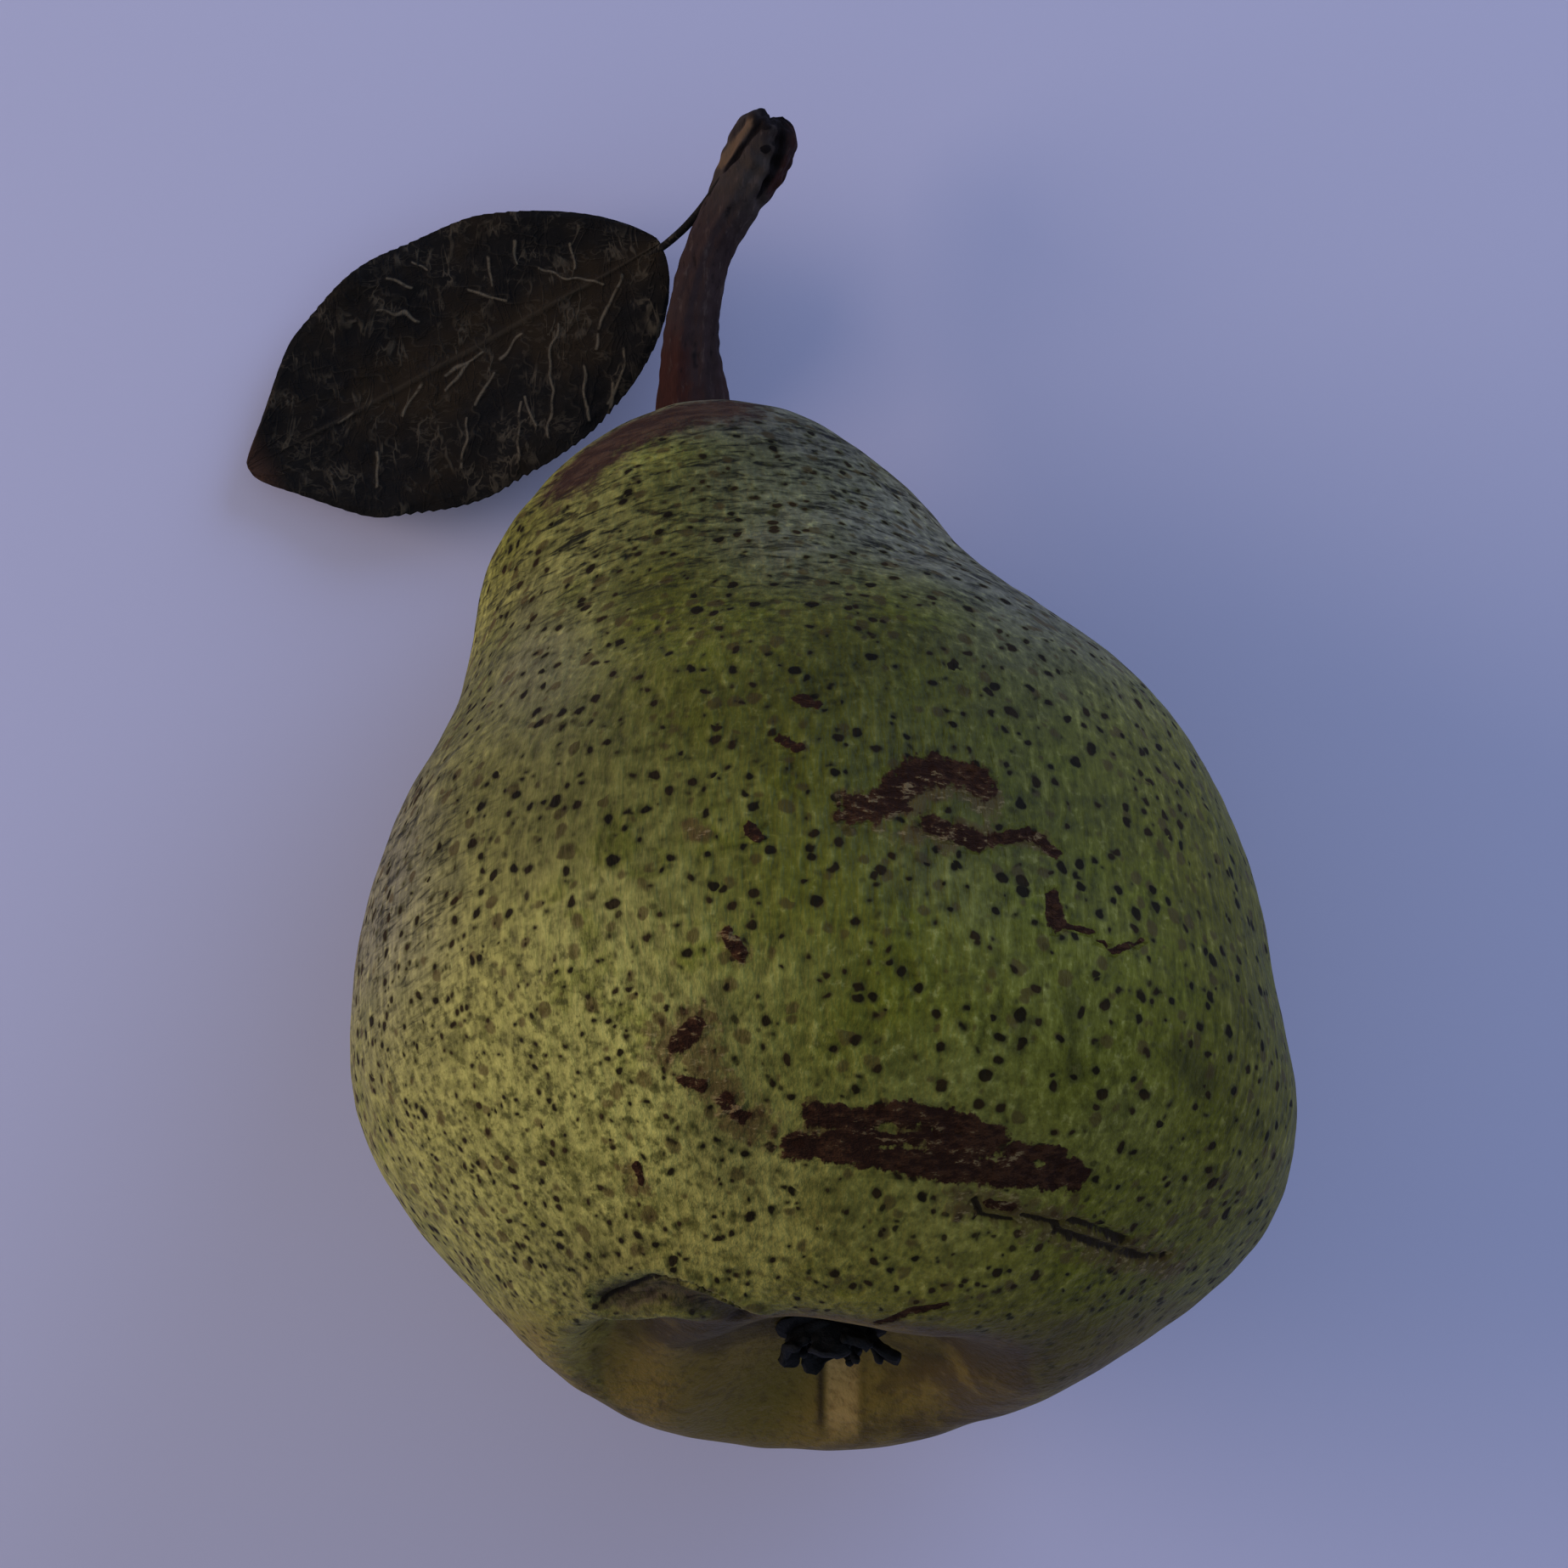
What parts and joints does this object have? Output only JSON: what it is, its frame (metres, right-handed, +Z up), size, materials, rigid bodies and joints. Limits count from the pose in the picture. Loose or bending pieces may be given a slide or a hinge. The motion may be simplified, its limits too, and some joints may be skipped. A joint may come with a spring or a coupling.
{
  "type": "pear",
  "caption": "Ripe green pear lying on its belly, with a woody stem, one dry leaf on its stalk and a dried calyx in the basin.",
  "frame": {"origin": "in the flat spot on the pear's belly, on the surface that it rests on, under the fruit's axis", "axes": "+Z up, +Y the way the stem points, +X to the right of it seen from above"},
  "size_m": [0.0905, 0.1167, 0.0735],
  "materials": {
    "skin": "waxy satin pear skin, olive green and yellow with dark lenticels and corky russet scars",
    "stem_bark": "dark woody stem, finely grooved, with a broken end",
    "dry_leaf": "dried, nearly black leaf with fine tan veins",
    "dry_calyx": "black, brittle dried sepals"
  },
  "bodies": {
    "root": {"fruit": "skin", "stem": "stem_bark", "leaf": "dry_leaf", "calyx": "dry_calyx"}
  },
  "joints": []
}
